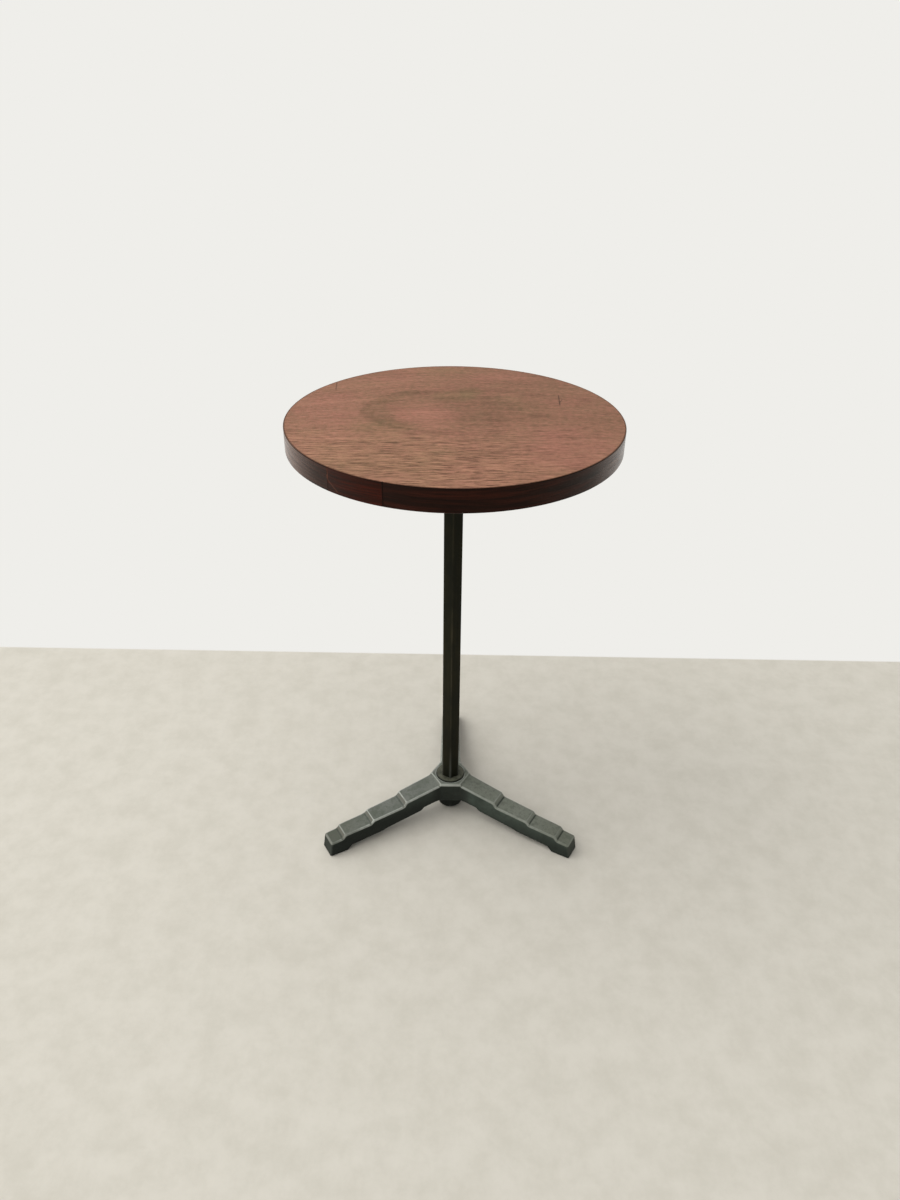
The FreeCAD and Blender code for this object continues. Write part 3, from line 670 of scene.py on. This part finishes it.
def copy_of_node(name, label):
    """A copy of a CAD node, with the loose triangles of its mesh joined."""
    piece = nodes[name].copy()
    piece.data = nodes[name].data.copy()
    piece.name = label
    bpy.context.scene.collection.objects.link(piece)
    pick_only(piece)
    bpy.ops.object.mode_set(mode="EDIT")
    bpy.ops.mesh.select_all(action="SELECT")
    bpy.ops.mesh.remove_doubles(threshold=1e-6)
    bpy.ops.object.mode_set(mode="OBJECT")
    return piece


def modify(piece, kind, **settings):
    """Adds one modifier, sets it and applies it."""
    pick_only(piece)
    modifier = piece.modifiers.new(kind.lower(), kind)
    for name, setting in settings.items():
        setattr(modifier, name, setting)
    bpy.ops.object.modifier_apply(modifier=modifier.name)


casting = copy_of_node("tripod_base", "cast_base")
modify(casting, "REMESH", mode="VOXEL", voxel_size=CAST_GRAIN, adaptivity=0.0)
modify(casting, "SMOOTH", factor=0.5, iterations=CAST_SMOOTHING)
print("cast base:", len(casting.data.polygons), "small faces")

# %% Bend of the surface
BEND_REACH = 14


def mark_bend(piece, name):
    """Keeps at each vertex how far it stands out of its surroundings: above 0 on arrises, below in corners."""
    mesh = piece.data
    count = len(mesh.vertices)
    places = np.empty(count * 3)
    normals = np.empty(count * 3)
    mesh.vertices.foreach_get("co", places)
    mesh.vertices.foreach_get("normal", normals)
    places, normals = places.reshape(-1, 3), normals.reshape(-1, 3)
    edges = np.empty(len(mesh.edges) * 2, dtype=np.int32)
    mesh.edges.foreach_get("vertices", edges)
    start, end = edges.reshape(-1, 2).T
    degree = np.bincount(start, minlength=count) + np.bincount(end, minlength=count)

    def mean_of_neighbours(points):
        sums = [np.bincount(start, part[end], count) + np.bincount(end, part[start], count)
                for part in points.T]
        return np.stack(sums, 1) / degree[:, None]

    levelled = places
    for _ in range(BEND_REACH):
        levelled = 0.5 * levelled + 0.5 * mean_of_neighbours(levelled)
    bend = ((places - levelled) * normals).sum(1) / CAST_GRAIN
    mesh.attributes.new(name, "FLOAT", "POINT").data.foreach_set("value", bend)
    return bend


bend = mark_bend(casting, "bend")
print("bend from the most hollow to the sharpest points:",
      np.percentile(bend, [1, 5, 50, 90, 95, 99]).round(3))

# %% Fewer faces on the flats
CAST_KEPT_SHARE = 0.26
modify(casting, "DECIMATE", decimate_type="COLLAPSE", ratio=CAST_KEPT_SHARE)
pick_only(casting)
bpy.ops.object.shade_smooth()
print("cast base:", len(casting.data.polygons), "faces,", list(casting.data.attributes.keys()))

# %% [markdown]
# ## Worn grey paint, with painted light and shade
# The base was painted grey, and its arrises are worn. Arrises and the crests of the steps are painted pale,
# for the rubbed paint and as a painted highlight that is strongest on the left leg, where the light falls
# from. Upward faces are painted lighter than the sides, and the risers lighter still on the right leg, as
# painted light. The foot of each step and the hollow corners get a dark line of painted shade, and painted
# shade lies low on the sides and round the hub. So the place of a point, the way its surface faces and its
# bend are first turned into masks from 0 to 1, one for each of these, and the colours are then laid over
# each other through the masks.

# %% Where the paint has worn, and where light and shade are painted
ARRIS_BEND, CREST_BEND = (0.10, 0.30), (0.10, 0.165)
CORNER_BEND, FOOT_BEND = (0.18, 0.36), (0.06, 0.15)
HUB_REACH = (0.032, 0.046)
LAST_STEP, TOE_END = (0.135, 0.155), (0.172, 0.180)
LOW_SHADE_HEIGHT = (0.006, 0.036)

cast_paint = Finish("grey_paint_wear_and_painted_light", Specular_IOR_Level=0.2)
x, y, z = cast_paint.place()
bend_node = cast_paint.node("ShaderNodeAttribute", {"attribute_name": "bend"})
bend_here = Value(cast_paint, bend_node.outputs["Fac"])
facing = cast_paint.parts(cast_paint.node("ShaderNodeNewGeometry").outputs["Normal"])
sand = cast_paint.noise(x * 1400, y * 1400, z * 1400, detail=3.0, rough=0.6)
lumps = cast_paint.noise(x * 160, y * 160, z * 160, detail=3.0)
clouds = cast_paint.noise(x * 45, y * 45, z * 45, detail=5.0, rough=0.6)
speckle = cast_paint.noise(x * 480, y * 480, z * 480, detail=3.0, rough=0.65)

from_axis = (x * x + y * y) ** 0.5
outgoing = (x * facing[0] + y * facing[1]) / from_axis
upward = cast_paint.smooth(facing[2], -0.05, 0.45)
at_hub = 1 - cast_paint.smooth(from_axis, *HUB_REACH)
left = cast_paint.smooth(-x, -0.05, 0.05)
# The pale arris paint is stronger on the left leg: worn paint, and a painted highlight where the light falls
# from the left.
wear_and_highlight_strength = (0.4 + 0.5 * left) * (1 - 0.4 * cast_paint.smooth(from_axis, *LAST_STEP))
wear_and_highlight_strength = wear_and_highlight_strength * (1 - 0.55 * cast_paint.smooth(from_axis, *TOE_END))
patchy = 0.45 + 0.55 * cast_paint.smooth(clouds * 0.6 + lumps * 0.4, 0.36, 0.56)
print("masks of the worn paint:", len(cast_paint.tree.nodes), "nodes so far")

# %% Crests, risers and corners
crest = cast_paint.smooth(bend_here, *CREST_BEND) * cast_paint.smooth(outgoing, 0.17, 0.35)
arris = cast_paint.smooth(bend_here, *ARRIS_BEND).most(crest)
# Wear and painted highlight: pale paint on arrises and crests, most on upward faces.
wear_and_highlight = arris * wear_and_highlight_strength * patchy * (0.3 + 0.7 * upward)
# Painted light: the upper part of each riser, to be painted lighter.
lit_riser = cast_paint.smooth(outgoing, 0.4, 0.7) * cast_paint.smooth(facing[2], 0.25, 0.5)
lit_riser = lit_riser * cast_paint.smooth(bend_here, -0.06, 0.0)
# Painted shade: the foot of each step and the hollow corners get a dark line.
foot = cast_paint.smooth(-bend_here, *FOOT_BEND) * cast_paint.smooth(outgoing, 0.12, 0.4) * (1 - at_hub)
corner = cast_paint.smooth(-bend_here, *CORNER_BEND)
# Painted shade: the sides are painted darker towards the floor, more on the left leg.
low_shade_line = z - 0.016 * left + (lumps - 0.5) * 0.01
low_shade = (1 - upward) * (1 - cast_paint.smooth(low_shade_line, *LOW_SHADE_HEIGHT))
print("with crests, risers and corners:", len(cast_paint.tree.nodes), "nodes")

# %% Colours of the lit tops and the shaded sides
cloud_mark = cast_paint.smooth(clouds, 0.35, 0.7)
lump_mark = cast_paint.smooth(lumps, 0.48, 0.66)
outward = cast_paint.smooth(from_axis, 0.10, 0.19)
toe_top = left * cast_paint.smooth(from_axis, 0.164, 0.171)
lit_top_paint = cast_paint.mix(paint(110, 113, 107), paint(95, 100, 92), cloud_mark)
# Painted light: the tops of the right leg are painted lighter, to even out the light that falls from the left.
lit_top_paint = cast_paint.mix(lit_top_paint, paint(130, 135, 120), 0.4 * (1 - left))
lit_top_paint = cast_paint.mix(lit_top_paint, paint(90, 92, 79), 0.55 * outward)
lit_top_paint = cast_paint.mix(lit_top_paint, paint(74, 76, 66), 0.55 * toe_top)
lit_top_paint = cast_paint.mix(lit_top_paint, paint(76, 82, 74), 0.5 * cast_paint.smooth(speckle, 0.5, 0.72))
lit_top_paint = cast_paint.mix(lit_top_paint, paint(82, 88, 77), 0.5 * lump_mark)
shaded_side_paint = cast_paint.mix(paint(58, 68, 61), paint(47, 56, 50), cloud_mark)
shaded_side_paint = cast_paint.mix(shaded_side_paint, paint(44, 52, 46), 0.5 * lump_mark)
# Painted shade: the sides round the hub are painted near black.
shaded_side_paint = cast_paint.mix(shaded_side_paint, paint(18, 24, 20), 0.9 * at_hub)
print("with tops and sides:", len(cast_paint.tree.nodes), "nodes")

# %% Colours laid over each other
# Painted light: risers are painted lighter, most on the right leg, where they face away from the light.
lit_riser_paint = cast_paint.mix(paint(140, 144, 133), paint(102, 100, 91), left)
# Painted light and shade: faces that look up get the lighter top paint, the rest the darker side paint.
cast_colour = cast_paint.mix(shaded_side_paint, lit_top_paint, upward)
cast_colour = cast_paint.mix(cast_colour, lit_riser_paint, 0.7 * lit_riser)
# Pale paint at arrises and crests: wear and a painted highlight.
cast_colour = cast_paint.mix(cast_colour, paint(184, 188, 181), 0.8 * wear_and_highlight)
# Painted shade: dark lines at the foot of each step and in the hollow corners.
cast_colour = cast_paint.mix(cast_colour, paint(36, 43, 38), (0.6 * corner).most((0.75 - 0.3 * left) * foot))
# Painted shade low on the sides.
cast_colour = cast_paint.mix(cast_colour, paint(18, 23, 20), (0.72 + 0.2 * left) * low_shade)
cast_colour = cast_paint.mix(cast_colour, paint(66, 72, 65), 0.4 * cast_paint.smooth(sand, 0.52, 0.75))
cast_paint.colour(cast_colour)
cast_paint.roughness(0.5 + 0.16 * clouds + 0.1 * sand - 0.12 * wear_and_highlight)
cast_paint.relief(0.55 * sand + 1.6 * lumps, 0.00022)
cast_paint.cover(casting)
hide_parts("tripod_base")
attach(casting, "root")

# %% [markdown]
# ## Felt pads
# Under each foot lies a thin disc of felt. It is cut with a punch, so its rim is soft: a cylinder gets a
# bevelled rim, an inset on both faces and a centre point, and the felt's fuzz comes from its finish.

# %% Felt discs
FELT_RIM_ROUND = 0.0003
FELT_INSET = 0.002
felt_pads = []
for place in ("back", "left", "right"):
    low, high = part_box(f"foot_pad_{place}")
    centre = [(a + b) / 2 for a, b in zip(low, high)]
    bpy.ops.object.select_all(action="DESELECT")
    bpy.ops.mesh.primitive_cylinder_add(
        vertices=72, radius=(high[0] - low[0]) / 2, depth=high[2] - low[2], location=centre)
    pad = bpy.context.object
    pad.name = f"felt_pad_{place}"
    bpy.ops.object.mode_set(mode="EDIT")
    bpy.ops.mesh.select_mode(type="FACE")
    bpy.ops.mesh.select_all(action="SELECT")
    bpy.ops.mesh.bevel(offset=FELT_RIM_ROUND, segments=3, affect="EDGES")
    bpy.ops.mesh.select_all(action="DESELECT")
    bpy.ops.object.mode_set(mode="OBJECT")
    for face in pad.data.polygons:
        face.select = abs(face.normal.z) > 0.99
    bpy.ops.object.mode_set(mode="EDIT")
    bpy.ops.mesh.inset(thickness=FELT_INSET, use_individual=True)
    bpy.ops.mesh.poke()
    bpy.ops.object.mode_set(mode="OBJECT")
    bpy.ops.object.transform_apply(location=True, rotation=True, scale=True)
    bpy.ops.object.shade_smooth_by_angle(angle=math.radians(50))
    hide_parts(f"foot_pad_{place}")
    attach(pad, "root")
    felt_pads.append(pad)

felt = Finish("grey_felt", Specular_IOR_Level=0.1, Sheen_Weight=0.4)
x, y, z = felt.place()
fuzz = felt.noise(x * 2600, y * 2600, z * 2600, detail=3.0, rough=0.7)
tufts = felt.noise(x * 500, y * 500, z * 500, detail=2.0)
felt.colour(felt.mix(paint(40, 40, 40), paint(66, 65, 63), felt.smooth(0.6 * fuzz + 0.4 * tufts, 0.35, 0.65)))
felt.roughness(0.9 + 0.08 * fuzz)
felt.relief(fuzz + tufts, 0.0002)
felt.cover(*felt_pads)
